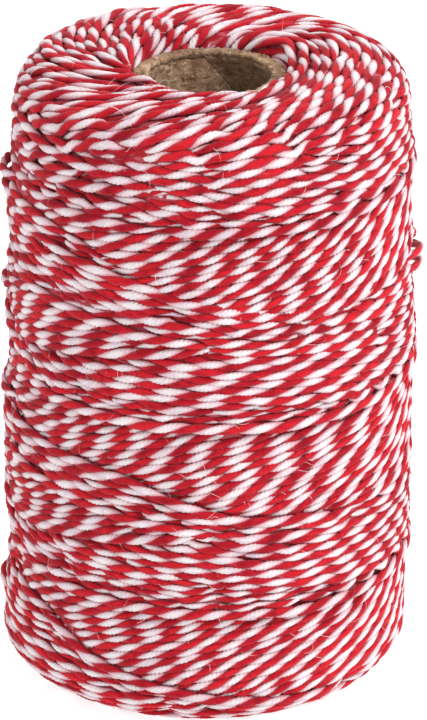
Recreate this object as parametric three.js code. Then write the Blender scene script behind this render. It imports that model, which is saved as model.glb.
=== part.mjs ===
// A spool of bakers twine: red-and-white cotton twine wound on a cardboard tube, standing on end.
// Millimetres, +Z up. The tube's axis is the Z axis and the roll stands on z = 0.
import * as THREE from 'three';

// ---- driving sizes -------------------------------------------------------------------------
const rollHeight = 124;
const footRadius = 39.1;          // the side's radius over its lower two thirds
const topRadius = 37.6;           // the side draws in a little towards the top
const taperStart = 60;            // height where the side starts to draw in
const tubeOuterRadius = 14.7;
const tubeWall = 2.7;
const tubeRecess = 3;             // the winding stands this far past the tube at both ends
const tubeRimRound = 0.5;         // the cut edge of the board is a little worn
const woundGap = 0.3;             // clearance between the tube and the turns wound on it

// The rounded parts of the winding: how far each reaches across and along the roll.
const shoulderRound = { across: 9, along: 7 };
const footRound = { across: 5.5, along: 5 };
const topLipRound = { across: 4, along: 4.2 };
const footLipRound = { across: 2.6, along: 2.4 };

// The main twists: the turns lie in laps, each lap's lower edge over the top of the lap below,
// and in each lap bands of parallel turns climb round the roll.
const lapCount = 6;
const firstLapHeight = 4.9;
const lapPitch = 19.75;
const lapProud = 0.9;             // how far a lap's lower edge stands over the lap below
const bandCount = 8;              // climbing bands round the roll
const bandClimb = 12.6;           // mm climbed for each radian round the roll
const bandProud = 0.32;
const lapWave = 1.0;              // the laps run up and down by this much as they go round
const outOfRound = 0.2;

// How finely the faceted solids are cut. The columns are a multiple of the band count.
const windingColumns = 56;
const tubeColumns = 48;
const shoulderSteps = 4;
const lipSteps = 2;
const footSteps = 2;
const plateauSteps = 3;
const lapStations = [0, 0.14, 0.34, 0.56, 0.78, 0.94];

// ---- the winding's form --------------------------------------------------------------------
const shoulderHeight = rollHeight - shoulderRound.along;
const shoulderLength = Math.PI / 2 * Math.hypot(shoulderRound.across, shoulderRound.along) / Math.SQRT2;

function sideRadius(height) {
  const drawIn = THREE.MathUtils.clamp((height - taperStart) / (shoulderHeight - taperStart), 0, 1);
  return footRadius - (footRadius - topRadius) * drawIn * drawIn;
}

// A row of the winding's skin: where it runs, how far along the skin it lies from the foot, and how
// strongly the twists raise it there. liftAlong is 1 where they raise it along Z, 0 where outwards.
function row(radius, height, travel, relief, liftAlong) {
  return { radius, height, travel, relief, liftAlong };
}

function plainRow(radius, height) {
  return row(radius, height, height, 0, 0);
}

function footRows() {
  const rows = [];
  for (let step = 0; step <= footSteps; step += 1) {
    const angle = (step / footSteps) * Math.PI / 2;
    const radius = footRadius - footRound.across * (1 - Math.sin(angle));
    const height = footRound.along * (1 - Math.cos(angle));
    rows.push(plainRow(radius, height));
  }
  return rows;
}

function sideRows() {
  const rows = [];
  for (let lap = 0; lap < lapCount; lap += 1) {
    const lapFoot = firstLapHeight + lap * lapPitch;
    for (const station of lapStations) {
      const height = lapFoot + station * lapPitch;
      if (height > footRound.along + 0.5 && height < shoulderHeight - 1) {
        rows.push(row(sideRadius(height), height, height, 1, 0));
      }
    }
  }
  return rows;
}

function shoulderRows() {
  const rows = [];
  for (let step = 0; step <= shoulderSteps; step += 1) {
    const angle = (step / shoulderSteps) * Math.PI / 2;
    const radius = topRadius - shoulderRound.across * (1 - Math.cos(angle));
    const height = shoulderHeight + shoulderRound.along * Math.sin(angle);
    const overShoulder = step / shoulderSteps;
    const travel = shoulderHeight + shoulderLength * overShoulder;
    rows.push(row(radius, height, travel, 1, overShoulder));
  }
  return rows;
}

function plateauRows() {
  const rows = [];
  const outer = topRadius - shoulderRound.across;
  const inner = boreRadius() + topLipRound.across;
  for (let step = 1; step <= plateauSteps; step += 1) {
    const radius = THREE.MathUtils.lerp(outer, inner, step / plateauSteps);
    const travel = shoulderHeight + shoulderLength + (outer - radius);
    rows.push(row(radius, rollHeight, travel, 1, 1));
  }
  return rows;
}

function topLipRows() {
  const rows = [];
  for (let step = 1; step <= lipSteps; step += 1) {
    const angle = (step / lipSteps) * Math.PI / 2;
    const radius = boreRadius() + topLipRound.across * (1 - Math.sin(angle));
    const height = rollHeight - topLipRound.along * (1 - Math.cos(angle));
    rows.push(plainRow(radius, height));
  }
  return rows;
}

function footLipRows() {
  const lipRadius = boreRadius() + footLipRound.across;
  return [
    plainRow(boreRadius(), footLipRound.along),
    plainRow(boreRadius() + footLipRound.across * 0.3, footLipRound.along * 0.3),
    plainRow(lipRadius, 0),
  ];
}

// The bore is a polygon, so its corners stand out a little for its flats to clear the tube.
function boreRadius() {
  return (tubeOuterRadius + woundGap) / Math.cos(Math.PI / windingColumns);
}

// How far the twists raise the skin at a place on the roll. The last lap runs on over the top.
function twistRelief(turn, travel) {
  const lapPlace = (travel - firstLapHeight) / lapPitch;
  const lap = Math.min(Math.floor(lapPlace), lapCount - 1);
  const alongLap = Math.min(lapPlace - lap, 1);
  const lapEdge = lapProud * (1 - alongLap) ** 2;
  const band = bandProud * Math.cos(bandCount * (turn - travel / bandClimb));
  return lapEdge + band;
}

// A closed skin through rings of points, each ring joined to the next and the last to the first.
function skinThroughRings(rings) {
  const columns = rings[0].length;
  const positions = rings.flat().flatMap((point) => [point.x, point.y, point.z]);
  const faces = [];
  for (let ring = 0; ring < rings.length; ring += 1) {
    const nextRing = (ring + 1) % rings.length;
    for (let column = 0; column < columns; column += 1) {
      const nextColumn = (column + 1) % columns;
      const a = ring * columns + column;
      const b = ring * columns + nextColumn;
      const c = nextRing * columns + nextColumn;
      const d = nextRing * columns + column;
      faces.push(a, b, c, a, c, d);
    }
  }
  const geometry = new THREE.BufferGeometry();
  geometry.setAttribute('position', new THREE.Float32BufferAttribute(positions, 3));
  geometry.setIndex(faces);
  geometry.computeVertexNormals();
  return geometry;
}

// Each row of the side waves up and down with its lap as it goes round.
function windingRing({ radius, height, travel, relief, liftAlong }) {
  const points = [];
  for (let column = 0; column < windingColumns; column += 1) {
    const turn = (column / windingColumns) * 2 * Math.PI;
    const swing = Math.cos(2 * turn) * relief;
    const lift = relief * twistRelief(turn, travel);
    const reach = radius + lift * (1 - liftAlong) + outOfRound * swing;
    const along = height + lift * liftAlong + lapWave * swing * (1 - liftAlong);
    points.push(new THREE.Vector3(reach * Math.cos(turn), reach * Math.sin(turn), along));
  }
  return points;
}

function twineWinding() {
  const rows = [
    ...footRows(),
    ...sideRows(),
    ...shoulderRows(),
    ...plateauRows(),
    ...topLipRows(),
    ...footLipRows(),
  ];
  const material = new THREE.MeshStandardMaterial({ color: '#cd6a72', roughness: 0.9, metalness: 0 });
  const winding = new THREE.Mesh(skinThroughRings(rows.map(windingRing)), material);
  winding.name = 'twine_winding';
  return winding;
}

// ---- the cardboard tube --------------------------------------------------------------------
function coreTube() {
  const inner = tubeOuterRadius - tubeWall;
  const outer = tubeOuterRadius;
  const bottom = tubeRecess;
  const top = rollHeight - tubeRecess;
  const section = [
    new THREE.Vector2(inner, bottom + tubeRimRound),
    new THREE.Vector2(inner + tubeRimRound, bottom),
    new THREE.Vector2(outer - tubeRimRound, bottom),
    new THREE.Vector2(outer, bottom + tubeRimRound),
    new THREE.Vector2(outer, top - tubeRimRound),
    new THREE.Vector2(outer - tubeRimRound, top),
    new THREE.Vector2(inner + tubeRimRound, top),
    new THREE.Vector2(inner, top - tubeRimRound),
    new THREE.Vector2(inner, bottom + tubeRimRound),
  ];
  const geometry = new THREE.LatheGeometry(section, tubeColumns);
  geometry.rotateX(Math.PI / 2);
  const material = new THREE.MeshStandardMaterial({ color: '#9c8364', roughness: 0.95, metalness: 0 });
  const tube = new THREE.Mesh(geometry, material);
  tube.name = 'core_tube';
  return tube;
}

const spool = new THREE.Group();
spool.add(coreTube(), twineWinding());

export default spool;
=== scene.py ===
import math
from collections import defaultdict, deque
from functools import partial
from itertools import product

import bpy
import numpy as np
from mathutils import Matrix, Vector, kdtree


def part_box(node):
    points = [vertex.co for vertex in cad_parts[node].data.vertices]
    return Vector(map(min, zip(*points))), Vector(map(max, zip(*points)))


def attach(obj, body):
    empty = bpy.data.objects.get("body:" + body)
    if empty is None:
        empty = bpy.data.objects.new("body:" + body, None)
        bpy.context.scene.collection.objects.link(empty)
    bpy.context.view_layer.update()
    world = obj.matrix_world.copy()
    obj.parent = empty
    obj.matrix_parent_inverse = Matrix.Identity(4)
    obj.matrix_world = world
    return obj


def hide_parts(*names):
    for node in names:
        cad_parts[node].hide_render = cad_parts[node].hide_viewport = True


# A roll of red-and-white bakers twine on its cardboard tube, standing on end. Metres, +Z up.

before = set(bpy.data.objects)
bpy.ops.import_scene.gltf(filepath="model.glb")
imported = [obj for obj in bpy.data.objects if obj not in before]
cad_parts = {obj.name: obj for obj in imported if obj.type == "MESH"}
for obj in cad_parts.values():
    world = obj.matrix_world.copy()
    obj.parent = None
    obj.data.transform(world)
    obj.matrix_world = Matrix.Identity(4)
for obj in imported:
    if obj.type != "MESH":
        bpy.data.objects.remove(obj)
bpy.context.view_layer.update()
MM = 0.001
TAU = 2 * math.pi
random = np.random.default_rng(7)

# ---- sizes of the roll, from the frame ------------------------------------------------------
tube_low, tube_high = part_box("core_tube")
_, roll_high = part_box("twine_winding")
tube_radius = tube_high.x
tube_wall = 2.7 * MM
tube_bore = tube_radius - tube_wall
roll_height = tube_high.z + tube_low.z
foot_radius = roll_high.x
top_radius = foot_radius - 1.5 * MM
taper_start = 0.48 * roll_height
shoulder_across, shoulder_along = 9.0 * MM, 7.0 * MM
foot_across, foot_along = 6.5 * MM, 8.0 * MM
lip_across, lip_along = 3.2 * MM, 4.0 * MM
bore_gap = 0.3 * MM               # between the tube and the turns wound on it
tuck_gap = 0.75 * MM              # from there to the middle of the strands beside the tube
tuck_reach = 3 * MM               # how far these run down beside it

# The roll has slumped a little to its left, more towards the foot, but not at the tube.
SLUMPS = (
    # how far, and the heights where it sets in and where it is all there, in mm
    (0.7, 80, 35),
    (0.7, 22, 0),
)
slump_start, slump_full = 1 * MM, 9 * MM  # out from the tube, where it sets in and is all there

# ---- sizes of the twine ---------------------------------------------------------------------
strand_pitch = 1.62 * MM          # from one turn to the next
top_loosening = 0.2               # by how much more they lie apart over the top
loose_start, loose_full = -5 * MM, -2 * MM    # between these: from the shoulder, from the crest
strand_inset = 0.76 * MM          # from the skin of the roll to the middle of its outer strands
strand_flatness = 0.82            # how far a strand is pressed flat on the roll
twist_length = 8.3 * MM           # along the strand for one full twist of the two plies
twist_lag = 2.6                   # radians by which a turn's twist lags behind the one below it,
                                  # so that the thick of one lies in the thin of the other
lag_spread = 1.55                 # how much this differs from strand to strand
lag_loosening = 4                 # and how fast that grows where turns lie apart, as a power
pace_spread = 0.045               # how much the pace of the twist differs, as a share
pace_loosening = 0.6              # how fast it slows where turns lie apart, as a power
twist_wander = 1.1                # radians by which the twist wanders along a strand
ring_step = 0.83 * MM             # between the rings of a ply's mesh
longest_run = 235 * MM            # before a strand goes in under its neighbours again
shortest_run = 5 * MM
shortest_infill = 3 * MM
sharp_bend = 0.25                 # radians from one ring to the next, where a strand stops
closest = 0.76                    # of the pitch: where two strands meet, one goes under
beside_room = 0.97                # of the pitch: the room that a strand needs beside another
infill_room = 0.79                # of the pitch: the room that one needs to fill a gap
tuck_rings = 7                    # how far it runs on under its neighbours, in rings
tuck_start = tuck_rings + 7       # the ring from its end where it starts to go down and thin out
tuck_depth = 1.4 * MM
tip = 0.15                        # how thick it still is at its end, as a share
bend, bend_lengths = 0.1 * MM, (1.9 * MM, 3.7 * MM)   # a strand's small bends to the side
slub, slub_length = 0.06, 4.3 * MM    # its thicker places, as a share of its width

# How strands settle among their neighbours.
abreast_reach = 0.62              # of a ring step: nearer than this, two rings lie side by side
alone_reach = 2.2                 # of the pitch: with none nearer than this, a strand is alone
most_shift, shift_share = 0.4 * MM, 0.55  # in one round, and how much of the way is gone
room_alone = 1.1                  # of the pitch: the width given to a strand with no neighbour
pressed_width = 1.05              # of the room that a strand has
narrowest, widest = 0.84, 1.3     # of its own width
loose_width = 0.4                 # how it widens where turns lie apart, as a power

# One ply across: round, and pressed flat where the other ply lies against it. Angles are from its
# own side of the strand, and reaches from the middle of the strand.
PLY_SECTION = (
    # angle, reach in mm
    (-92, 0.70),
    (-52, 0.93),
    (-16, 1.0),
    (16, 1.0),
    (52, 0.93),
    (92, 0.70),
)
ply_angles, ply_reaches = np.array(PLY_SECTION).T
fibre_girth = 0.7 * MM            # the radius at which a ply's fibres are drawn

# ---- the laps of the winding ----------------------------------------------------------------
lap_pitch = 39.5 * MM             # from one lap's lower edge to the next
first_edge = 24.65 * MM           # height of the first of these edges
lap_count = 3
edge_proud = 0.95 * MM            # how far a lap's lower edge stands over the lap below
edge_dip, dip_reach = 0.55 * MM, 5 * MM   # how far turns sink to run in under an edge, and where
edge_spread = 5.0 * MM            # over which a proud edge settles back
edge_wave = 1.2 * MM              # how far an edge runs up and down as it goes round
edge_phase, phase_step = 2.97, 0.5    # radians: where that wave starts, and its step by lap
edge_start, start_step = -70, 109     # degrees: where a lap's lowest turn starts, and its step
edge_reach = 356                  # degrees that this turn goes round
border_rise = 0.38 * MM           # how far turns stand up at a border within a lap
border_spread = 2.2 * MM          # over which they settle back

# How steeply the turns climb as they go round to the right, in degrees.
falling_climb, steepest_fall = -10, -14
rising_climb = 8
under_climb = -24                 # under the foot
climb_unevenness = 2.2
steep = 4                         # a border this steep counts in full
border_near, border_at = 7 * MM, 1 * MM       # between these they swing in along a border
edge_below, edge_above = -1 * MM, 3 * MM      # between these they go level along a lap's edge
under_start, under_full = 5 * MM, -8 * MM     # between these they turn in under the foot
# They take up the swirl of the top between these: from the shoulder, and from the crest.
swirl_start, swirl_full = -7 * MM, 1 * MM

# How uneven the turns lie. The foot is flat.
flat_foot, uneven_from = 3 * MM, 10 * MM
lumps = 0.25 * MM                 # of the roll as a whole
strand_lumps = 0.1 * MM           # of one strand beside the next
most_strand_lump = 0.2 * MM
top_lumpiness = 3.2               # how much more of these there is over the top

# Slack places, where one turn stands off the roll, and over how many half lengths it comes back.
slack_reach = 1.6
SLACK_TURNS = (
    # turn in degrees, then height, how far it stands off and half its length, in mm
    (2, 87.5, 1.6, 6),
    (1, 85, 2.6, 7),
    (2, 82, 2.3, 7),
    (181, 102, 1.2, 7),
    (184, 99, 1.0, 6),
    (183, 80, 1.2, 6),
    (178, 14, 1.4, 5),
    (96, 60, 1.6, 7),
)

# Round its left side the roll is lumpier: how far it swells out there.
left_side, left_width = 183, 62   # degrees
LEFT_SWELLS = (
    # height and swell, in mm
    (0, 0.7),
    (6.5, 0.7),
    (9, 0.2),
    (16, 0.1),
    (18, -0.8),
    (27, -1.0),
    (30, -0.1),
    (44, 0.2),
    (57, 0.1),
    (59, -0.8),
    (69, -0.9),
    (71, 0.0),
    (81, 0.3),
    (90, -0.2),
    (97, 0.3),
    (102.5, 0.5),
    (104, -0.5),
    (117, -0.4),
)

# The turns of a lap fall as they go round to the right, and then rise again. This is how high over
# the edge of each lap they turn from the one to the other, round the roll.
REVERSALS = (
    # turn in degrees, then laps 0, 1 and 2, in mm
    (-168, 35.0, 31.0, 37.0),
    (-141, 32.0, 29.5, 36.0),
    (-126, 27.5, 29.0, 34.0),
    (-112, 24.8, 28.0, 28.5),
    (-95, 23.0, 24.0, 24.8),
    (-80, 21.5, 21.0, 22.3),
    (-64, 20.5, 20.5, 21.0),
    (-45, 20.0, 18.5, 21.8),
    (-25, 21.0, 19.5, 23.5),
)

# One turn is pulled tight, across those beside it and along the reversal: where it runs.
pulled_lap = 2
PULLED_TURN = (
    # turn in degrees, height in mm
    (-168, 97.5),
    (-146, 96.5),
    (-124, 94.0),
    (-110, 92.0),
    (-95, 89.0),
    (-80, 86.5),
    (-66, 85.2),
    (-50, 85.8),
    (-34, 88.0),
)
pulled_up = 0.4 * MM              # how far it stands over its neighbours

# On the left of a lap a wedge of rising turns shows among the falling ones.
wedge_turn = -165                 # degrees: the place where it is widest
WEDGES = (
    # middle over the edge, reach down, reach up, all in mm, and degrees to its points
    (17.0, 0.0, 0.0, 78),
    (17.0, 9.0, 4.5, 78),
    (16.5, 9.0, 4.5, 78),
    (7.5, 3.5, 5.0, 64),
)

# How the turns swirl in over the top to the tube.
TOP_SWIRL = (
    # turn and climb, in degrees
    (-139, 38),
    (-90, 25),
    (-45, 16),
    (0, -9),
    (24, -8),
    (44, 16),
    (60, 32),
    (75, 38),
    (90, 40),
    (118, 33),
    (148, 23),
    (180, 26),
)


def smooth(low, high, value):
    """0 below low, 1 above high, and an even S between them."""
    share = np.clip((value - low) / (high - low), 0, 1)
    return share * share * (3 - 2 * share)


def hump(middle, half_width, value):
    """1 at the middle, falling to 0 at half a width to each side."""
    return smooth(half_width, 0, np.abs(value - middle))


class Ripple:
    """A smooth uneven field over the roll, about -1 to 1, the same after a whole turn."""

    def __init__(self, waves, round_waves, wave_length):
        self.rounds = random.integers(-round_waves, round_waves + 1, waves)
        self.along = random.uniform(-1, 1, waves) * TAU / wave_length
        self.phase = random.uniform(0, TAU, waves)
        self.share = 1.5 / math.sqrt(waves)

    def at(self, turn, travel):
        turn, travel = np.asarray(turn)[..., None], np.asarray(travel)[..., None]
        waves = np.sin(self.rounds * turn + self.along * travel + self.phase)
        return waves.sum(-1) * self.share


def round_axis(radius, turn, height):
    """Points in space round the roll's axis."""
    return np.stack([radius * np.cos(turn), radius * np.sin(turn), height], -1)


def apart(turn, degrees):
    """How far round it is from a place given in degrees, in radians, less than 0 to its left."""
    return np.angle(np.exp(1j * (turn - math.radians(degrees))))


def on_left(turn):
    """1 at the lumpy left side of the roll, 0 away from it."""
    return hump(math.radians(left_side), math.radians(left_width), np.mod(turn, TAU))


# ---- the skin: where the middles of the outer strands lie ------------------------------------
def quarter(centre, across, along, start, end, steps=24):
    """Points on an oval arc in the roll's profile. Angles in degrees: 0 outwards, 90 up."""
    angles = np.radians(np.linspace(start, end, steps))
    return [(centre[0] + across * math.cos(a), centre[1] + along * math.sin(a)) for a in angles]


def side_radius(height):
    """The radius of the roll's side, which draws in towards the top."""
    draw_in = np.clip((height - taper_start) / (roll_height - shoulder_along - taper_start), 0, 1)
    return foot_radius - (foot_radius - top_radius) * draw_in**2


class Skin:
    """The profile on which the strands lie, turned round the tube, from inside the foot to inside
    the top. Travel is the way along it, equal to the height low on the roll's side."""

    def __init__(self):
        inset = strand_inset
        inner = tube_radius + bore_gap + tuck_gap
        top = roll_height - inset
        foot_lip = (inner + lip_across, lip_along + inset)
        foot_round = (foot_radius - foot_across, foot_along)
        shoulder = (top_radius - shoulder_across, roll_height - shoulder_along)
        top_lip = (inner + lip_across, top - lip_along)
        profile = [(inner, lip_along + inset + tuck_reach)]
        profile += quarter(foot_lip, -lip_across, -lip_along, 0, 90)
        profile += quarter(foot_round, foot_across - inset, foot_along - inset, -90, 0)
        foot_points = len(profile)
        heights = np.linspace(foot_along, roll_height - shoulder_along, 60)[1:]
        profile += [(side_radius(height) - inset, height) for height in heights]
        profile += quarter(shoulder, shoulder_across - inset, shoulder_along - inset, 0, 90)[1:]
        profile += quarter(top_lip, -lip_across, lip_along, 90, 0)
        profile += [(inner, top - lip_along - tuck_reach)]
        points = np.array(profile)
        along = np.r_[0, np.cumsum(np.hypot(*np.diff(points, axis=0).T))]
        along += foot_along - along[foot_points - 1]
        self.travel = np.arange(along[0], along[-1], 0.25 * MM)
        self.radius = np.interp(self.travel, along, points[:, 0])
        self.height = np.interp(self.travel, along, points[:, 1])
        away, up = np.gradient(self.height), -np.gradient(self.radius)
        even = np.ones(9) / 9
        evened = [np.convolve(np.pad(side, 4, "edge"), even, "valid") for side in (away, up)]
        self.away, self.up = evened / np.hypot(*evened)
        self.start, self.end = self.travel[0], self.travel[-1]
        self.swell_heights, self.swells = np.array(LEFT_SWELLS).T * MM

    def radius_at(self, travel):
        return np.interp(travel, self.travel, self.radius)

    def outward(self, turn, travel):
        """The direction straight out of the roll."""
        turn, travel = np.broadcast_arrays(turn, travel)
        away = np.interp(travel, self.travel, self.away)
        return round_axis(away, turn, np.interp(travel, self.travel, self.up))

    def lean(self, radius, height):
        """How far the slumped roll is out to the side there."""
        slumped = sum(far * MM * smooth(start * MM, full * MM, height) for far, start, full in SLUMPS)
        return -slumped * smooth(tube_radius + slump_start, tube_radius + slump_full, radius)

    def place(self, turn, travel, lift=0.0):
        """Points in space, lifted by so much from the skin and its swells."""
        turn, travel = np.broadcast_arrays(turn, travel)
        radius = np.interp(travel, self.travel, self.radius)
        height = np.interp(travel, self.travel, self.height)
        lean = self.lean(radius, height)
        facing = np.clip(np.interp(travel, self.travel, self.away), 0, 1)
        radius = radius + on_left(turn) * facing * np.interp(travel, self.swell_heights, self.swells)
        on_skin = round_axis(radius, turn, height)
        on_skin[..., 0] += lean
        lift = np.broadcast_to(lift, turn.shape)
        return on_skin + self.outward(turn, travel) * lift[..., None]


skin = Skin()
shoulder_travel = roll_height - shoulder_along
crest_travel = shoulder_travel + 0.25 * math.pi * (shoulder_across + shoulder_along - 2 * strand_inset)


# ---- how the twine lies ----------------------------------------------------------------------
loose_pitch = strand_pitch * (1 + top_loosening)


def pitch_at(travel):
    """From one turn to the next: close on the side, looser over the top."""
    loose = smooth(shoulder_travel + loose_start, crest_travel + loose_full, travel)
    return strand_pitch * (1 + top_loosening * loose)


def edge_height(lap, turn):
    """Where a lap's lower edge runs. Lap 0 is the foot, which has no edge on the side."""
    wave = np.cos(turn + edge_phase + phase_step * lap)
    return first_edge + (lap - 1) * lap_pitch + edge_wave * wave


def lap_at(turn, travel):
    """Which lap a place belongs to."""
    return sum((travel > edge_height(lap, turn)).astype(int) for lap in range(1, lap_count + 1))


def reversal_height(lap, turn):
    """Where the falling turns of a lap give way to rising ones. The top lap has no such place."""
    turns, *heights = np.array(REVERSALS).T
    over_edge = [np.interp(np.degrees(turn), turns, column, period=360) * MM for column in heights]
    above_everything = np.full(np.shape(turn), 1.0)
    return edge_height(lap, turn) + np.choose(lap, [*over_edge, above_everything], mode="clip")


def wedge_height(lap, way, turn):
    """The lower side of a lap's wedge, with way -1, or its upper side, with way 1."""
    middle, down, up, points = (np.choose(lap, column, mode="clip") for column in zip(*WEDGES))
    from_wide = np.degrees(np.abs(apart(turn, wedge_turn)))
    share = np.clip(1 - from_wide / points, 0, 1)
    reach = down if way < 0 else up
    return edge_height(lap, turn) + (middle + way * reach * share) * MM


def line_slope(line, turn):
    """How steeply a line round the roll climbs, in degrees."""
    step = 0.04
    rise = line(turn + step) - line(turn - step)
    return np.degrees(np.arctan2(rise, 2 * step * foot_radius))


FALLING, WEDGE, RISING = range(3)


def lay_at(turn, travel):
    """Which lay of strands a place belongs to: three for each lap, each with its own climb."""
    lap = lap_at(turn, travel)
    in_wedge = (travel > wedge_height(lap, -1, turn)) & (travel < wedge_height(lap, 1, turn))
    part = np.where(in_wedge, WEDGE, FALLING)
    return 3 * lap + np.where(travel > reversal_height(lap, turn), RISING, part)


climb_ripple = Ripple(14, 7, 32 * MM)


def climb_on_side(turn, travel):
    """Degrees. Falling turns go level at the edge, and both sorts lie along their reversal."""
    lay = lay_at(turn, travel)
    lap = lay // 3
    below_reversal = reversal_height(lap, turn) - travel
    slope = line_slope(partial(reversal_height, lap), turn)
    down_there = smooth(border_near, border_at, below_reversal) * smooth(0, -steep, slope)
    falling = falling_climb + (np.maximum(slope, steepest_fall) - falling_climb) * down_there
    falling = falling * smooth(edge_below, edge_above, travel - edge_height(lap, turn))
    up_there = smooth(border_near, border_at, -below_reversal) * smooth(0, steep, slope)
    rising = rising_climb + (slope - rising_climb) * up_there
    return np.where(lay % 3 == FALLING, falling, rising)


def climb_degrees(turn, travel):
    """How steeply a strand climbs, in degrees, as it goes round to the right."""
    side = climb_on_side(turn, np.minimum(travel, shoulder_travel))
    under = smooth(under_start, under_full, travel)
    side = side * (1 - under) + under_climb * under
    turns, climbs = np.array(TOP_SWIRL).T
    at_top = np.interp(np.degrees(turn), turns, climbs, period=360)
    over = smooth(shoulder_travel + swirl_start, crest_travel + swirl_full, travel)
    climb = side * (1 - over) + at_top * over
    return climb + climb_unevenness * climb_ripple.at(turn, travel)


class LayChart:
    """The climb and the lay worked out once over the whole skin, for quick reading while strands
    are laid."""

    def __init__(self, columns=720, row=0.25 * MM):
        self.columns, self.row = columns, row
        turns = (np.arange(columns) + 0.5)[:, None] * TAU / columns
        travels = np.arange(skin.start, skin.end, row)[None, :] + row / 2
        self.climbs = np.radians(climb_degrees(turns, travels)).tolist()
        self.lays = lay_at(turns, travels).tolist()
        self.radii = skin.radius_at(travels[0]).tolist()
        self.pitches = pitch_at(travels[0]).tolist()
        self.heights = np.interp(travels[0], skin.travel, skin.height).tolist()
        self.rows = len(self.radii)

    def read(self, turn, travel):
        """(climb, lay, radius, pitch) at a place."""
        column = int(turn / TAU * self.columns) % self.columns
        row = min(max(int((travel - skin.start) / self.row), 0), self.rows - 1)
        return self.climbs[column][row], self.lays[column][row], self.radii[row], self.pitches[row]

    def read_place(self, travel):
        """(radius, height) of the skin at a place on its profile."""
        along = min(max((travel - skin.start) / self.row - 0.5, 0), self.rows - 1.001)
        row = int(along)
        share = along - row
        radius = self.radii[row] * (1 - share) + self.radii[row + 1] * share
        return radius, self.heights[row] * (1 - share) + self.heights[row + 1] * share


class Crowd:
    """The strands laid so far, by place, to find which lie near a point."""

    def __init__(self):
        self.cells = defaultdict(list)

    def cell(self, point):
        return tuple(int(c // loose_pitch) for c in point)

    def add(self, points, lay):
        for point in points:
            self.cells[self.cell(point)].append((point, lay))

    def near(self, point, lay, reach):
        """True if a strand of this lay lies nearer than reach."""
        i, j, k = self.cell(point)
        for cell in product((i - 1, i, i + 1), (j - 1, j, j + 1), (k - 1, k, k + 1)):
            for place, other in self.cells.get(cell, ()):
                if other == lay and math.dist(place, point) < reach:
                    return True
        return False


def pulled_height(turn):
    """Where the pulled turn runs."""
    turns, heights = np.array(PULLED_TURN).T
    return np.interp(np.degrees(turn), turns, heights) * MM


def along_line(line, start, end, samples=900):
    """The turns and travels of a strand at even steps along a line round the roll, from a start to
    an end in degrees."""
    turn = np.radians(np.linspace(start, end, samples))
    travel = line(turn)
    along = np.r_[0, np.cumsum(np.hypot(np.diff(turn) * skin.radius_at(travel[1:]), np.diff(travel)))]
    places = np.arange(0, along[-1], ring_step)
    return np.interp(places, along, turn), np.interp(places, along, travel)


def border_strands():
    """The strands along the borders of the lays, each with its lay. They lie on top there: of two
    lays, the one whose strands run along the border is over the one whose strands meet it."""
    half = 0.5 * strand_pitch
    wide, lowest, last = wedge_turn, -45, wedge_turn + 360
    borders = []

    def add(lap, part, line, side, start, end):
        turns, travels = along_line(lambda turn: line(turn) + side * half, start, end)
        borders.append({"lay": 3 * lap + part, "turn": turns, "travel": travels, "pinned": True})

    # The strands on a wedge's sides meet near its widest place and end 4 degrees from its points.
    for lap in range(lap_count + 1):
        if lap > 0:
            start = edge_start + start_step * lap
            add(lap, FALLING, partial(edge_height, lap), 1, start, start + edge_reach)
            reach = WEDGES[lap][3] - 4
            for way, upper, lower in ((-1, WEDGE, FALLING), (1, FALLING, WEDGE)):
                line = partial(wedge_height, lap, way)
                add(lap, upper, line, 1, wide - 2, wide + reach)
                add(lap, lower, line, -1, wide - reach, wide - 2)
        if lap < lap_count:
            line = partial(reversal_height, lap)
            if lap != pulled_lap:
                add(lap, FALLING, line, -1, wide, lowest)
            add(lap, RISING, line, 1, lowest, last)
    add(pulled_lap, FALLING, pulled_height, 0, PULLED_TURN[0][0], PULLED_TURN[-1][0])
    borders[-1]["pulled"] = True
    return borders


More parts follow.
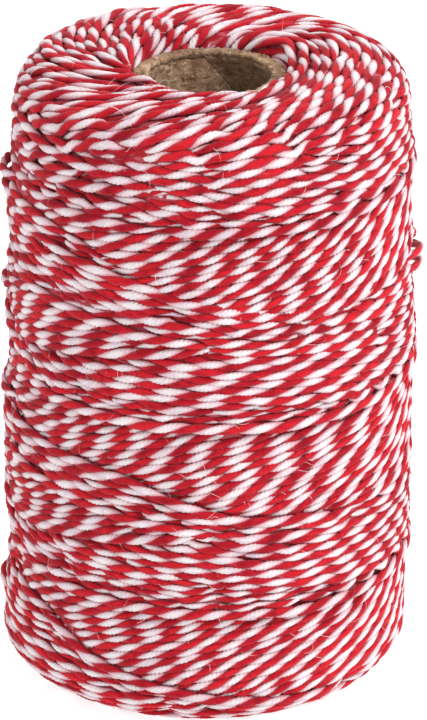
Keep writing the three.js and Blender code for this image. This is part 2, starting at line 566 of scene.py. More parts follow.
class Winder:
    """Lays strands side by side along the climb, lay by lay. Each strand is a dict with its lay, the
    turn and travel of its points, and its twist. Where strands run together, one stops: it goes
    under."""

    def __init__(self):
        self.chart = LayChart()
        self.crowd = Crowd()
        self.strands = []
        self.waiting = deque()

    def where(self, turn, travel):
        radius, height = self.chart.read_place(travel)
        return radius * math.cos(turn), radius * math.sin(turn), height

    def keep(self, strand):
        strand.setdefault("rate", TAU / twist_length)
        strand.setdefault("twist", random.uniform(0, TAU))
        places = zip(strand["turn"].tolist(), strand["travel"].tolist())
        self.crowd.add([self.where(turn, travel) for turn, travel in places], strand["lay"])
        self.strands.append(strand)
        self.waiting.append(strand)

    def run(self, turn, travel, lay, way, limit):
        """Places on from one, until the strand meets another, leaves its lay, would have to bend
        sharply or is long."""
        places = []
        climb, _, radius, _ = self.chart.read(turn, travel)
        for _ in range(limit):
            turn += way * ring_step * math.cos(climb) / radius
            travel += way * ring_step * math.sin(climb)
            last_climb = climb
            climb, lay_here, radius, pitch = self.chart.read(turn, travel)
            inside = skin.start < travel < skin.end and lay_here == lay
            if not inside or abs(climb - last_climb) > sharp_bend:
                break
            if self.crowd.near(self.where(turn, travel), lay, closest * pitch):
                break
            places.append((turn, travel))
        return places

    def lay_through(self, turn, travel, lay, twist, shortest=shortest_run):
        """One strand through a place, both ways, with its twist at that place."""
        most = int(longest_run / ring_step)
        back = self.run(turn, travel, lay, -1, most // 2)
        ahead = self.run(turn, travel, lay, 1, most - len(back))
        places = np.array(back[::-1] + [(turn, travel)] + ahead)
        if len(places) * ring_step >= shortest:
            looseness = self.chart.read(turn, travel)[3] / strand_pitch
            rate = TAU / twist_length * looseness**-pace_loosening * random.normal(1, pace_spread)
            start_twist = twist - rate * len(back) * ring_step
            line = {"lay": lay, "turn": places[:, 0], "travel": places[:, 1]}
            self.keep({**line, "rate": rate, "twist": start_twist})

    def lay_beside(self, strand, index, side):
        """A strand above or below one point of another, if there is room for it in the lay."""
        turn, travel = float(strand["turn"][index]), float(strand["travel"][index])
        climb, _, radius, pitch = self.chart.read(turn, travel)
        new_turn = turn - side * pitch * math.sin(climb) / radius
        new_travel = travel + side * pitch * math.cos(climb)
        lay = strand["lay"]
        if not skin.start < new_travel < skin.end or self.chart.read(new_turn, new_travel)[1] != lay:
            return
        if self.crowd.near(self.where(new_turn, new_travel), lay, beside_room * pitch):
            return
        spread = lag_spread * (pitch / strand_pitch) ** lag_loosening
        twist = strand["twist"] + strand["rate"] * index * ring_step
        self.lay_through(new_turn, new_travel, lay, twist - side * random.normal(twist_lag, spread))

    def spread(self, every=3):
        """Lays strands beside those that wait, and beside those in turn."""
        while self.waiting:
            strand = self.waiting.popleft()
            for index in range(1, len(strand["turn"]) - 1, every):
                for side in (1, -1):
                    self.lay_beside(strand, index, side)

    def fill_gaps(self, row=1.1 * MM, step=1.6 * MM):
        """Lays strands wherever there is still room for one."""
        for travel in np.arange(skin.start + 1 * MM, skin.end, row).tolist():
            for turn in np.arange(0, TAU, step / skin.radius_at(travel)).tolist():
                _, lay, _, pitch = self.chart.read(turn, travel)
                if not self.crowd.near(self.where(turn, travel), lay, infill_room * pitch):
                    self.lay_through(turn, travel, lay, random.uniform(0, TAU), shortest_infill)
                    self.spread()


def lay_strands():
    """The strands of the whole roll, from those along its borders."""
    winder = Winder()
    for strand in border_strands():
        winder.keep(strand)
    winder.spread()
    winder.fill_gaps()
    return winder.strands


class Rings:
    """All the strands' points in rows, one ring of mesh each."""

    def __init__(self, strands):
        counts = [len(strand["turn"]) for strand in strands]

        def of_strand(key):
            return np.repeat([strand.get(key, False) for strand in strands], counts)

        self.turn = np.concatenate([strand["turn"] for strand in strands])
        self.travel = np.concatenate([strand["travel"] for strand in strands])
        self.strand = np.repeat(np.arange(len(strands)), counts)
        self.lay = of_strand("lay")
        self.lap = self.lay // 3
        self.pinned = of_strand("pinned")
        self.pulled = of_strand("pulled")
        self.start_twist = of_strand("twist")
        self.rate = of_strand("rate")
        self.index = np.concatenate([np.arange(count) for count in counts])
        self.left = np.repeat(counts, counts) - 1 - self.index
        self.from_end = np.minimum(self.index, self.left)
        self.width = np.ones(len(self.turn))

    def evened(self, values, times=2):
        """Values evened out along each strand."""
        for _ in range(times):
            before = np.where(self.index > 0, np.roll(values, 1), values)
            after = np.where(self.left > 0, np.roll(values, -1), values)
            values = 0.25 * before + 0.5 * values + 0.25 * after
        return values

    def directions(self, points, outward):
        """Unit vectors along each strand and across it, and outward squared up to both."""
        ahead = np.where((self.left > 0)[:, None], np.roll(points, -1, 0), points)
        behind = np.where((self.index > 0)[:, None], np.roll(points, 1, 0), points)
        along = ahead - behind
        along /= np.linalg.norm(along, axis=1)[:, None]
        across = np.cross(outward, along)
        across /= np.linalg.norm(across, axis=1)[:, None]
        return along, across, np.cross(along, across)


def neighbours(rings, reach=1.6 * loose_pitch, rings_apart=8):
    """Pairs of rings of one lay that lie close to each other, of two strands or far along one."""
    points = skin.place(rings.turn, rings.travel)
    tree = kdtree.KDTree(len(points))
    for number, point in enumerate(points.tolist()):
        tree.insert(point, number)
    tree.balance()
    lay, strand, index = rings.lay.tolist(), rings.strand.tolist(), rings.index.tolist()
    pairs = []
    for a, point in enumerate(points.tolist()):
        for _, b, _ in tree.find_range(point, reach):
            beside = strand[a] != strand[b] or abs(index[a] - index[b]) > rings_apart
            if lay[a] == lay[b] and beside:
                pairs.append((a, b))
    return np.array(pairs).T


def settle(rings, rounds=14):
    """The strands shift sideways until each lies midway between its neighbours, and spread or
    narrow a little to fill the room they have."""
    a, b = neighbours(rings)
    for _ in range(rounds):
        pitch = pitch_at(rings.travel)
        far = alone_reach * pitch
        points = skin.place(rings.turn, rings.travel)
        along, across, _ = rings.directions(points, skin.outward(rings.turn, rings.travel))
        away = points[b] - points[a]
        ahead = np.abs((away * along[a]).sum(1))
        beside = (away * across[a]).sum(1)
        abreast = ahead < abreast_reach * ring_step
        upper, lower = far.copy(), far.copy()
        above, below = abreast & (beside > 0), abreast & (beside < 0)
        np.minimum.at(upper, a[above], beside[above])
        np.minimum.at(lower, a[below], -beside[below])
        alone_above, alone_below = upper >= far, lower >= far
        shift = (upper - lower) / 2
        shift = np.where(alone_above, (pitch - lower) / 2, shift)
        shift = np.where(alone_below, (upper - pitch) / 2, shift)
        shift = np.where(alone_above & alone_below | rings.pinned, 0, shift)
        shift = rings.evened(np.clip(shift, -most_shift, most_shift) * shift_share, 3)
        round_way = np.stack([-np.sin(rings.turn), np.cos(rings.turn), 0 * rings.turn], 1)
        level = (across * round_way).sum(1)
        rings.turn = rings.turn + shift * level / skin.radius_at(rings.travel)
        rings.travel = rings.travel + shift * np.sqrt(np.clip(1 - level**2, 0, 1))
    room = np.where(alone_above | alone_below, room_alone * pitch, (upper + lower) / 2)
    filling = pressed_width * np.clip(room / pitch, narrowest, widest)
    rings.width = rings.evened(filling * (pitch / strand_pitch) ** loose_width, 4)


def run_on(line):
    """A strand's turns or travels, carried straight on at both ends by the rings of a tuck."""
    steps = np.arange(1, tuck_rings + 1)
    before = line[0] - steps[::-1] * (line[2] - line[0]) / 2
    after = line[-1] + steps * (line[-1] - line[-3]) / 2
    return np.concatenate([before, line, after])


def tucked(rings):
    """The settled strands, each run on at both ends to where it is hidden by its neighbours."""
    starts = np.flatnonzero(rings.index == 0)
    turns, travels, widths = (
        np.split(values, starts[1:]) for values in (rings.turn, rings.travel, rings.width)
    )
    strands = []
    for start, turn, travel in zip(starts, turns, travels):
        rate = rings.rate[start]
        strands.append({
            "lay": rings.lay[start],
            "turn": run_on(turn),
            "travel": np.clip(run_on(travel), skin.start, skin.end),
            "rate": rate,
            "twist": rings.start_twist[start] - rate * tuck_rings * ring_step,
            "pulled": rings.pulled[start],
        })
    result = Rings(strands)
    result.width = np.concatenate([np.pad(width, tuck_rings, "edge") for width in widths])
    return result


height_ripple = Ripple(12, 6, 30 * MM)


def border_step(inside, steepness):
    """The step at a border of two lays: one side stands over the other. Inside is the way in from
    the border, less than 0 beyond it, and the inner side is on top where the steepness is over 0."""
    on_top = np.clip(steepness / steep, -1, 1) * np.sign(inside)
    return border_rise * on_top * np.exp(-np.abs(inside) / border_spread)


def edge_lifts(rings):
    """A lap's lower edge stands over the lap below, whose turns sink as they run in under it."""
    above = rings.travel - edge_height(rings.lap, rings.turn)
    proud = edge_proud * (1 - on_left(rings.turn)) * np.exp(-np.maximum(above, 0) / edge_spread)
    to_next = edge_height(rings.lap + 1, rings.turn) - rings.travel
    sunk = np.where(rings.lap < lap_count, edge_dip * smooth(dip_reach, 0, to_next), 0)
    return np.where(rings.lap >= 1, proud, 0) - sunk


def border_lifts(rings):
    """The steps at the reversal and at both sides of the wedge in each lap, and the pulled turn."""
    reversal = partial(reversal_height, rings.lap)
    below_reversal = reversal(rings.turn) - rings.travel
    lift = border_step(below_reversal, -line_slope(reversal, rings.turn))
    for way in (-1, 1):
        side = partial(wedge_height, rings.lap, way)
        in_wedge = way * (side(rings.turn) - rings.travel)
        steepness = np.where(rings.lap > 0, line_slope(side, rings.turn), 0)
        lift += border_step(in_wedge, steepness)
    return lift + np.where(rings.pulled, pulled_up, 0)


def uneven_lifts(rings):
    """The lumps of the roll, and of one strand beside the next."""
    strand_lift = random.normal(0, strand_lumps, rings.strand[-1] + 1)
    strand_lift = np.clip(strand_lift, -most_strand_lump, most_strand_lump)
    over_top = smooth(shoulder_travel, crest_travel, rings.travel)
    lift = lumps * height_ripple.at(rings.turn, rings.travel)
    lift += strand_lift[rings.strand] * (1 + top_lumpiness * over_top)
    return lift * smooth(flat_foot, uneven_from, rings.travel)


def slack_lifts(rings):
    """The slack turns, each along its own strand."""
    lift = np.zeros(len(rings.turn))
    for turn, height, stand_off, half_length in SLACK_TURNS:
        aside = apart(rings.turn, turn) * foot_radius
        nearest = np.argmin(np.hypot(aside, rings.travel - height * MM))
        from_slack = (rings.index - rings.index[nearest]) * ring_step
        slack = hump(0, slack_reach * half_length * MM, from_slack) * stand_off * MM
        lift += np.where(rings.strand == rings.strand[nearest], slack, 0)
    return lift


def lifts(rings):
    """How far each ring stands over the skin. Both ends of a strand go down under its neighbours."""
    lift = edge_lifts(rings) + border_lifts(rings) + uneven_lifts(rings) + slack_lifts(rings)
    return lift - tuck_depth * smooth(tuck_start, 1, rings.from_end)


twist_ripple = Ripple(24, 3, 24 * MM)


def twists(rings):
    """The angle through which the two plies have turned round each other at each ring."""
    wander = twist_wander * twist_ripple.at(rings.turn, rings.travel)
    return rings.start_twist + rings.rate * rings.index * ring_step + wander


# ---- meshes ----------------------------------------------------------------------------------
def smooth_mesh(name, points, faces, **marks):
    """A smooth mesh. A mark is a number or a vector for each of its points, for the finish."""
    mesh = bpy.data.meshes.new(name)
    mesh.from_pydata(points.reshape(-1, 3), [], faces.tolist())
    mesh.shade_smooth()
    for mark, values in marks.items():
        kind, field = ("FLOAT_VECTOR", "vector") if values.ndim == 3 else ("FLOAT", "value")
        layer = mesh.attributes.new(mark, kind, "POINT")
        layer.data.foreach_set(field, np.ascontiguousarray(values, np.float32).ravel())
    return mesh


def round_mesh(name, points, ways, **marks):
    """A closed body of rings of points, the last joined to the first. Ways are 0, from ring to
    ring, and 1, round the ring, in the order that turns the faces outwards."""
    rows, columns = points.shape[:2]
    here = np.arange(rows)[:, None] * columns + np.arange(columns)
    one, other = (np.roll(here, -1, way) for way in ways)
    across = np.roll(one, -1, ways[1])
    faces = np.stack([here, one, across, other], -1).reshape(-1, 4)
    return smooth_mesh(name, points, faces, **marks)


def put(name, data):
    """A new object in the scene."""
    thing = bpy.data.objects.new(name, data)
    bpy.context.scene.collection.objects.link(thing)
    return thing


def piece(mesh, material):
    """A mesh as a piece of the roll, with its finish."""
    mesh.materials.append(material)
    thing = put(mesh.name, mesh)
    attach(thing, "root")
    return thing


def tubes(name, points, first, last, material, slot, **marks):
    """One piece of many closed tubes. Points are rings of 4 or 6, and first and last tell where a
    tube starts and ends."""
    sides = points.shape[1]
    here = np.flatnonzero(~last)[:, None] * sides
    side, turned = np.arange(sides), (np.arange(sides) + 1) % sides
    walls = np.stack([here + side, here + sides + side, here + sides + turned, here + turned], -1)
    fans = np.array([(0, k, k + 1, k + 2) for k in range(1, sides - 2, 2)])
    open_ends = np.flatnonzero(first)[:, None, None] * sides + fans
    shut_ends = np.flatnonzero(last)[:, None, None] * sides + fans[:, ::-1]
    faces = np.concatenate([part.reshape(-1, 4) for part in (walls, open_ends, shut_ends)])
    mesh = smooth_mesh(name, points, faces, **marks)
    bake_strips(mesh, len(walls), sides, fans, first.sum() + last.sum())
    return piece(mesh, material)


def bake_strips(mesh, segments, sides, fans, ends, girth=4.4 * MM, margin=0.08):
    """A flat layout of the tubes for their baked colours: a cell for each stretch between two
    rings, row after row, then a cell for each end."""
    cells = segments + ends
    row_cells = max(int(math.sqrt(cells * girth / ring_step)), 1)
    rows = math.ceil(cells / row_cells)
    row, column = np.divmod(np.arange(cells), row_cells)
    edges = margin + (1 - 2 * margin) * np.arange(sides + 1) / sides
    low, high = edges[:-1], edges[1:]
    across = np.array([0, 1, 1, 0])
    up = np.stack([low, low, high, high], -1)
    wall_u = np.broadcast_to(column[:segments, None, None] + across, (segments, sides, 4))
    wall_v = row[:segments, None, None] + up
    around = np.arange(sides) / sides * TAU
    corners = np.stack([0.5 + 0.4 * np.cos(around), 0.5 + 0.4 * np.sin(around)], -1)
    half = ends // 2
    orders = [np.broadcast_to(fans, (half, *fans.shape))]
    orders += [np.broadcast_to(fans[:, ::-1], (half, *fans.shape))]
    fan_corners = corners[np.concatenate(orders)]
    end_u = column[segments:, None, None] + fan_corners[..., 0]
    end_v = row[segments:, None, None] + fan_corners[..., 1]
    u = np.concatenate([wall_u.ravel(), end_u.ravel()]) / row_cells
    v = np.concatenate([wall_v.ravel(), end_v.ravel()]) / rows
    layout = mesh.uv_layers.new(name="OFBake")
    layout.uv.foreach_set("vector", np.stack([u, v], -1).astype(np.float32).ravel())


def ply_section(rings, twist):
    """Angles and reaches of one ply round the middle of its strand, a ring for each row."""
    taper = tip + (1 - tip) * smooth(-1, tuck_start, rings.from_end)
    return twist[:, None] + np.radians(ply_angles), ply_reaches * MM * taper[:, None]


def make_plies(rings, finishes):
    """The red and the white plies of every strand, a piece for each lap and colour. Their marks
    are the way along and round a ply for its fibre, how near a point is to the groove between the
    plies and to the valley between strands, and how light or deep the dye is."""
    lift = lifts(rings)
    twist = twists(rings)
    points = skin.place(rings.turn, rings.travel, lift)
    outward = skin.outward(rings.turn, rings.travel)
    _, across, outward = rings.directions(points, outward)
    run = rings.index * ring_step
    strand_start = random.uniform(0, 1, rings.strand[-1] + 1)[rings.strand]
    phase = TAU * strand_start
    bends = sum(np.sin(run / length + (k + 1) * phase) for k, length in enumerate(bend_lengths))
    points = points + across * (bend * bends)[:, None]
    width = rings.width * (1 + slub * np.sin(run / slub_length + 3 * phase))
    strand_tone = random.normal(0, 1, rings.strand[-1] + 1)[rings.strand]
    patches = climb_ripple.at(2 * rings.turn, 1.7 * rings.travel)
    tone = strand_tone + 0.7 * patches
    # Near the groove between the plies, the finish paints shade and colour reflected from the other
    # ply.
    groove = smooth(20, ply_angles.max(), np.abs(ply_angles))
    for side, colour in enumerate(("red", "white")):
        angle, reach = ply_section(rings, twist + side * math.pi)
        sideways = np.sin(angle) * reach * width[:, None]
        upwards = np.cos(angle) * reach * strand_flatness
        corners = points[:, None] + across[:, None] * sideways[..., None]
        corners = corners + outward[:, None] * upwards[..., None]
        lengths = np.broadcast_to(run[:, None] + strand_start[:, None], angle.shape)
        around = fibre_girth * np.cos(angle), fibre_girth * np.sin(angle)
        fibre = np.stack([lengths, *around], -1) / MM
        grooves = np.broadcast_to(groove, angle.shape)
        tones = np.broadcast_to(tone[:, None], angle.shape)
        for lap in range(lap_count + 1):
            chosen = rings.lap == lap
            tubes(
                f"twine_{colour}_lap_{lap + 1}",
                corners[chosen],
                rings.index[chosen] == 0,
                rings.left[chosen] == 0,
                finishes[colour],
                "twine_cotton",
                fibre=fibre[chosen],
                groove=grooves[chosen],
                # How deep a point lies in the valley between strands, where the finish paints shade.
                valley=smooth(0.72, 0.05, np.cos(angle[chosen])),
                tone=tones[chosen],
            )
    return points


def make_heart(finish, columns=120, rows=130, depth=0.6 * MM):
    """The turns under the outer ones, as one body that closes every gap between strands."""
    turns = np.arange(columns) * TAU / columns
    travels = np.linspace(skin.start, skin.end, rows)
    outer = skin.place(turns[None, :], travels[:, None], -depth)
    rings = [outer]
    for height in (outer[-1, 0, 2], outer[0, 0, 2]):
        rings.append(round_axis(tube_radius + bore_gap, turns, np.full(columns, height))[None])
    mesh = round_mesh("inner_turns", np.concatenate(rings), (1, 0))
    heart = piece(mesh, finish)
    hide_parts("twine_winding")


# ---- stray fibres ----------------------------------------------------------------------------
fibre_length, fibre_evenness = 3 * MM, 4  # the mean, and how even the lengths are
fibre_heading, fibre_bend = 0.9, 1.1  # radians to the side of the strand, and from root to end
curled_share, curl = 0.12, 5.0    # how many are curled, and how far these bend
fibre_rise = 0.1, 0.45            # of their length: how high they stand up
fibre_root, root_spread = 0.5 * MM, 0.1 * MM  # from the strand's middle out to the root
fibre_radius, curled_radius = 0.03 * MM, 0.046 * MM
fibres_above = 9 * MM             # none lower than this


def make_stray_fibres(rings, points, finish, count=620, steps=8):
    """Short hairs that have worked loose. They rise from the strands in an arc and thin out."""
    on_show = (rings.travel > fibres_above) & (rings.from_end > tuck_rings)
    roots = random.choice(np.flatnonzero(on_show), count, replace=False)
    directions = rings.directions(points, skin.outward(rings.turn, rings.travel))
    along, across, outward = (way[roots][:, None] for way in directions)
    length = random.gamma(fibre_evenness, fibre_length / fibre_evenness, count)
    heading = random.normal(0, fibre_heading, count)
    curled = random.uniform(0, 1, count) < curled_share
    bends = random.normal(0, np.where(curled, curl, fibre_bend))
    share = np.linspace(0, 1, steps)
    angle = heading[:, None] + bends[:, None] * share
    ahead = np.cumsum(np.cos(angle), 1) / steps * length[:, None]
    sideways = np.cumsum(np.sin(angle), 1) / steps * length[:, None]
    rise = random.uniform(*fibre_rise, count) * length
    upwards = fibre_root + rise[:, None] * np.sin(math.pi * 0.85 * share)
    upwards = upwards + random.uniform(-root_spread, root_spread, (count, 1))
    line = points[roots][:, None] + along * ahead[..., None]
    line = line + across * sideways[..., None] + outward * upwards[..., None]
    side_way = np.cross(outward, np.gradient(line, axis=1))
    side_way /= np.linalg.norm(side_way, axis=2)[..., None]
    radius = np.where(curled, curled_radius, fibre_radius)[:, None] * smooth(1.25, 0.3, share)
    corners = []
    for turned in (0, 0.5 * math.pi, math.pi, 1.5 * math.pi):
        way = side_way * math.cos(turned) + outward * math.sin(turned)
        corners.append(line + way * radius[..., None])
    corners = np.stack(corners, 2).reshape(-1, 4, 3)
    ring = np.tile(np.arange(steps), count)
    tubes("stray_fibres", corners, ring == 0, ring == steps - 1, finish, "twine_cotton")


# ---- the cardboard tube ----------------------------------------------------------------------
seam_lead = 85 * MM               # how far the spiral seam drops in one turn
seam_turn = math.radians(100)     # where it meets the top rim
seam_step, seam_spread = 0.28 * MM, 5 * MM    # how far its edge stands in, and settles back over
rim_wear = 0.1 * MM
roughness, softness = 0.05 * MM, 0.12 * MM    # how uneven the wall is, in fine and in wide waves
# Where a ply has split, in the bore at the back: how far below the rim, and half its width.
left_split, left_gape, left_wave = 1.2 * MM, 0.42 * MM, 0.17 * MM
right_split, right_gape = 1.0 * MM, 0.5 * MM
seam_gape = 0.5 * MM
split_depth = 0.2 * MM


def tube_profile():
    """Radius and height round the tube's wall: up its bore, over the rim, down and under."""
    round_off = 0.5 * MM
    low, high = tube_low.z, tube_high.z
    inner = (tube_bore + round_off, high - round_off)
    outer = (tube_radius - round_off, high - round_off)
    below_outer = (tube_radius - round_off, low + round_off)
    below_inner = (tube_bore + round_off, low + round_off)
    # The rows in the bore lie closer towards the rim, where it is worn and split.
    bore_heights = np.concatenate([
        np.linspace(low + 2 * MM, high - 24 * MM, 10),
        np.linspace(high - 22 * MM, high - 5 * MM, 12),
        np.linspace(high - 4.6 * MM, high - 0.8 * MM, 12),
    ])
    profile = [(tube_bore, height) for height in bore_heights]
    profile += quarter(inner, -round_off, round_off, 0, 90, 4)
    profile += [(radius, high) for radius in np.linspace(inner[0], outer[0], 7)[1:-1]]
    profile += quarter(outer, round_off, round_off, 90, 0, 4)
    profile += [(tube_radius, height) for height in np.linspace(high - 2 * MM, low + 2 * MM, 14)]
    profile += quarter(below_outer, round_off, -round_off, 0, 90, 3)
    profile += quarter(below_inner, -round_off, -round_off, 90, 0, 3)
    return np.array(profile)


def tube_splits(turn, below_rim):
    """How open the splits are, from 0 to 1: a waving one at the back left, and one at the back
    right."""
    whole_turn = np.mod(turn, TAU)    # radians round from the right side, past the back
    back_left = smooth(1.35, 1.7, whole_turn) * smooth(3.3, 2.9, whole_turn)
    back_right = smooth(0.35, 0.6, whole_turn) * smooth(1.7, 1.5, whole_turn)
    torn = left_split + left_wave * Ripple(24, 40, 30 * MM).at(turn, 0 * turn)
    left = hump(torn, left_gape, below_rim) * back_left
    return np.maximum(left, 0.8 * hump(right_split, right_gape, below_rim) * back_right)


def tube_shade_and_dirt(round_share, turn, below_rim, near_rim, in_bore):
    """How dark the card is, from 0 to 1: painted shade down in the bore, least just past its seam,
    and dirt round the back of the rim."""
    in_shade = (0.17 + 0.83 * smooth(0.15, 0.75, round_share)) * in_bore
    in_shade = in_shade * smooth(0.3 * MM, 2.2 * MM, below_rim)
    return np.maximum(in_shade, 0.4 * hump(math.pi / 2, 1.3, np.mod(turn, TAU)) * near_rim)


def make_tube(finish, columns=280):
    """The tube, wound from strips of card whose last edge shows as a spiral seam in the bore."""
    radius, height = tube_profile().T
    rim = tube_high.z
    column = np.arange(columns) * TAU / columns
    turn = seam_turn + column[None, :] - (rim - height[:, None]) / seam_lead * TAU
    around = np.broadcast_to(radius[:, None], turn.shape).copy()
    level = np.broadcast_to(height[:, None], turn.shape).copy()
    in_bore = around < tube_bore + 0.3 * MM
    past_seam = np.where(in_bore, column[None, :] * tube_bore, 1.0)
    around -= np.where(in_bore, seam_step * np.exp(-past_seam / seam_spread), 0)
    rough = Ripple(60, 110, 2.5 * MM)
    soft = Ripple(10, 4, 60 * MM)
    near_rim = smooth(rim - 3.5 * MM, rim - 0.4 * MM, level)
    level -= near_rim * rim_wear * (1 + rough.at(turn, around + level))
    around += roughness * rough.at(turn, level) * (0.3 + near_rim) * np.where(in_bore, 1, 0.4)
    around += softness * soft.at(turn, level) * in_bore
    below_rim = rim - level
    split = tube_splits(turn, below_rim) * in_bore
    around += split_depth * split
    from_seam = np.minimum(past_seam, TAU * tube_bore - past_seam)
    seam = np.where(in_bore, hump(0, seam_gape, from_seam), 0)
    # Painted shade in the bore, and dirt at the back of the rim.
    shade = tube_shade_and_dirt(column / TAU, turn, below_rim, near_rim, in_bore)
    points = round_axis(around, turn, level)
    mesh = round_mesh("cardboard_tube", points, (0, 1), worn=np.maximum(split, seam), dark=shade)
    tube = piece(mesh, finish)
    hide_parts("core_tube")


# ---- finishes --------------------------------------------------------------------------------
class Value:
    """What comes out of a node, with the sums that finishes do on it."""

    def __init__(self, finish, socket):
        self.finish, self.socket = finish, socket

    def maths(self, operation, first, second):
        return self.finish.node("ShaderNodeMath", {"operation": operation}, {0: first, 1: second})

    def __add__(self, other):
        return self.maths("ADD", self, other)

    def __sub__(self, other):
        return self.maths("SUBTRACT", self, other)

    def __rsub__(self, other):
        return self.maths("SUBTRACT", other, self)

    def __mul__(self, other):
        return self.maths("MULTIPLY", self, other)

    __radd__, __rmul__ = __add__, __mul__

    def between(self, low, high):
        """0 where it is below low, 1 above high, even in between."""
        settings = {"interpolation_type": "SMOOTHSTEP", "clamp": True}
        return self.finish.node("ShaderNodeMapRange", settings, {0: self, 1: low, 2: high})


class Finish:
    """A procedural material, and the one way of adding nodes to it."""

    def __init__(self, name, **shader_values):
        self.material = bpy.data.materials.new(name)
        self.material.use_nodes = True
        self.tree = self.material.node_tree
        self.shader = self.tree.nodes["Principled BSDF"]
        for socket, value in shader_values.items():
            self.feed(self.shader.inputs[socket.replace("_", " ")], value)

    def node(self, kind, settings=None, inputs=None, output=0):
        """Adds a node: its settings first, then a value or a link for each socket."""
        node = self.tree.nodes.new(kind)
        for name, setting in (settings or {}).items():
            setattr(node, name, setting)
        for name, value in (inputs or {}).items():
            self.feed(node.inputs[name], value)
        return Value(self, node.outputs[output])

    def feed(self, socket, value):
        if isinstance(value, Value):
            self.tree.links.new(value.socket, socket)
        else:
            socket.default_value = value

    def mark(self, name, output="Fac"):
        """A number or vector that the mesh carries."""
        return self.node("ShaderNodeAttribute", {"attribute_name": name}, output=output)

    def stretched(self, vector, scale):
        return self.node("ShaderNodeMapping", None, {"Vector": vector, "Scale": scale})

    def noise(self, vector, scale, detail=2.0, roughness=0.55):
        sockets = {"Vector": vector, "Scale": scale, "Detail": detail, "Roughness": roughness}
        return self.node("ShaderNodeTexNoise", None, sockets)

    def mix(self, share, first, second):
        """Goes from the first colour to the second as the share goes from 0 to 1."""
        return self.node("ShaderNodeMix", {"data_type": "RGBA"}, {0: share, 6: first, 7: second}, 2)

    def place(self):
        """The place on the object, in metres."""
        return self.node("ShaderNodeTexCoord", output="Object")

    def colour(self, value):
        self.feed(self.shader.inputs["Base Color"], value)

    def bump(self, height, distance, strength=1.0):
        sockets = {"Height": height, "Distance": distance, "Strength": strength}
        bumped = self.node("ShaderNodeBump", None, sockets)
        self.feed(self.shader.inputs["Normal"], bumped)


def srgb(red, green, blue):
    """A colour given from 0 to 255, as the shader wants it."""
    channels = [channel / 255 for channel in (red, green, blue)]
    linear = [c / 12.92 if c <= 0.04045 else ((c + 0.055) / 1.055) ** 2.4 for c in channels]
    return (*linear, 1.0)


def twine_finish(name, light, body, deep, groove_shade_and_reflection, valley_shade):
    """Soft spun cotton: fine hairs along the strand and uneven dye, with painted shade and painted
    reflected colour where plies and strands meet."""
    sheen = {"Sheen_Weight": 0.12, "Sheen_Roughness": 0.5}
    finish = Finish(name, Roughness=1.0, Specular_IOR_Level=0.05, **sheen)
    fibre = finish.mark("fibre", "Vector")
    hairs = finish.noise(finish.stretched(fibre, (0.34, 1.6, 1.6)), 1.6, 3.0, 0.62)
    tufts = finish.noise(finish.stretched(fibre, (0.5, 1.0, 1.0)), 1.1, 2.0)
    tone = finish.mark("tone") * 0.06
    groove = finish.mark("groove")
    dye = finish.mix((hairs + tone).between(0.38, 0.7), body, light)
    dye = finish.mix((tufts - tone).between(0.5, 0.76) * 0.6, dye, deep)
    # Painted shade and reflected colour in the groove between the plies.
    dye = finish.mix(groove.between(0.2, 1.0) * 0.8, dye, groove_shade_and_reflection)
    # Painted shade in the valleys between strands.
    finish.colour(finish.mix(finish.mark("valley") * 0.8, dye, valley_shade))
    finish.bump(hairs * 0.7 + tufts * 0.5, 0.25 * MM, 0.7)
    return finish.material


def red_cotton():
    return twine_finish(
        "red_cotton",
        light=srgb(213, 35, 46),
        body=srgb(170, 24, 38),
        deep=srgb(124, 13, 28),
        # In the grooves: painted shade with pink reflected from the white ply. In the valleys: painted
        # shade.
        groove_shade_and_reflection=srgb(184, 48, 62),
        valley_shade=srgb(164, 20, 36),
    )


def white_cotton():
    """White as spun, and pink where the red beside it shines into its hollows."""
    return twine_finish(
        "white_cotton",
        light=srgb(240, 231, 233),
        body=srgb(231, 218, 222),
        deep=srgb(212, 192, 200),
        # Painted shade in the grooves and valleys, pinked by light reflected from the red.
        groove_shade_and_reflection=srgb(218, 134, 147),
        valley_shade=srgb(196, 98, 114),
    )


def inner_cotton():
    """The turns below, where red and white run together in the shade."""
    finish = Finish("inner_cotton", Roughness=0.95)
    place = finish.stretched(finish.place(), (1.0, 1.0, 3.0))
    patches = finish.noise(place, 260.0, 2.0)
    finish.colour(finish.mix(patches.between(0.42, 0.6), srgb(162, 16, 32), srgb(192, 84, 97)))
    finish.bump(patches, 0.4 * MM)
    return finish.material


def loose_cotton():
    """Stray fibres: white, and pink in places."""
    finish = Finish("loose_cotton", Roughness=0.8, Sheen_Weight=0.3)
    patches = finish.noise(finish.place(), 90.0, 1.0)
    finish.colour(finish.mix(patches.between(0.52, 0.58), srgb(250, 240, 240), srgb(228, 120, 126)))
    return finish.material


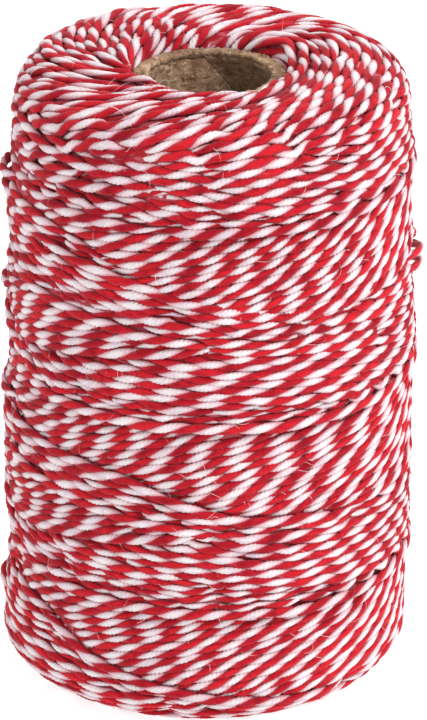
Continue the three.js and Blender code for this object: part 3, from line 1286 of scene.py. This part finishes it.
def wound_card():
    """Mottled brown pulp with pale and dark flecks, darker in its cracks and seam."""
    finish = Finish("wound_card", Roughness=0.9, Specular_IOR_Level=0.2)
    place = finish.place()
    pulp = finish.noise(place, 420.0, 5.0, 0.65)
    mottle = finish.noise(place, 130.0, 3.0)
    flecks = finish.noise(finish.stretched(place, (1.0, 1.0, 1.7)), 900.0, 2.0)
    patches = {"Vector": finish.stretched(place, (1.0, 1.0, 1.6)), "Scale": 150.0, "Randomness": 1.0}
    edge = finish.node("ShaderNodeTexVoronoi", {"feature": "DISTANCE_TO_EDGE"}, patches, "Distance")
    cracks = (edge + pulp * 0.12).between(0.075, 0.03) * mottle.between(0.46, 0.56)
    card = finish.mix(pulp.between(0.34, 0.68), srgb(140, 106, 80), srgb(202, 168, 138))
    card = finish.mix(mottle.between(0.45, 0.7) * 0.5, card, srgb(120, 90, 68))
    card = finish.mix(flecks.between(0.6, 0.68) * 0.8, card, srgb(230, 204, 180))
    card = finish.mix(flecks.between(0.4, 0.3) * 0.75, card, srgb(80, 56, 40))
    card = finish.mix(cracks * 0.8, card, srgb(66, 46, 32))
    # Painted shade down the bore, and dirt round the back of the rim.
    card = finish.mix(finish.mark("dark") * 0.75, card, srgb(82, 56, 40))
    finish.colour(finish.mix(finish.mark("worn").between(0.3, 0.9) * 0.85, card, srgb(52, 38, 28)))
    finish.bump(pulp + mottle * 0.6 + flecks * 0.4 - cracks * 0.6, 0.6 * MM, 0.8)
    return finish.material


# ---- the studio ------------------------------------------------------------------------------
floor_reach = 3                   # metres to each side
floor_glow = 0.8
background_strength = 0.88
camera_place = (0, -0.800, 0.411)
camera_down, camera_aside = math.radians(23.63), math.radians(0.045)
focal_length = 222.3              # in mm, a long lens


def make_floor():
    mesh = bpy.data.meshes.new("floor")
    signs = (-1, -1), (1, -1), (1, 1), (-1, 1)
    corners = [(x * floor_reach, y * floor_reach, 0) for x, y in signs]
    mesh.from_pydata(corners, [], [(0, 1, 2, 3)])
    glow = {"Emission_Color": (1, 1, 1, 1), "Emission_Strength": floor_glow}
    pale = Finish("pale_floor", Base_Color=srgb(160, 160, 160), Roughness=0.9, **glow)
    mesh.materials.append(pale.material)
    put("floor", mesh)


def make_light(name, place, aim, size, power):
    """A soft square light, aimed at a point."""
    lamp = bpy.data.lights.new(name, "AREA")
    lamp.size, lamp.energy = size, power
    light = put(name, lamp)
    light.location = place
    light.rotation_euler = (Vector(aim) - Vector(place)).to_track_quat("-Z", "Y").to_euler()


def make_studio():
    """A pale floor in even light, a soft key light from the right and a faint one from the left."""
    make_floor()
    middle = (0, 0, roll_height / 2)
    make_light("key_light", (1.3, -0.5, 1.2), middle, size=1.0, power=20)
    make_light("fill_light", (-1.3, -1.2, 0.9), middle, size=1.4, power=2)
    world = bpy.data.worlds.new("studio")
    world.use_nodes = True
    background = world.node_tree.nodes["Background"].inputs
    background["Color"].default_value = (1, 1, 1, 1)
    background["Strength"].default_value = background_strength
    bpy.context.scene.world = world
    bpy.context.scene.view_settings.view_transform = "Standard"


def make_camera():
    """From the front and above, aimed a touch to the right of the roll."""
    lens = bpy.data.cameras.new("camera")
    lens.lens = focal_length
    camera = put("camera", lens)
    camera.location = camera_place
    camera.rotation_euler = (math.pi / 2 - camera_down, 0, -camera_aside)
    bpy.context.scene.camera = camera


# ---- the making ------------------------------------------------------------------------------
make_camera()
make_studio()
make_tube(wound_card())
make_heart(inner_cotton())
wound = Rings(lay_strands())
settle(wound)
strands = tucked(wound)
finishes = {"red": red_cotton(), "white": white_cotton()}
strand_points = make_plies(strands, finishes)
make_stray_fibres(strands, strand_points, loose_cotton())
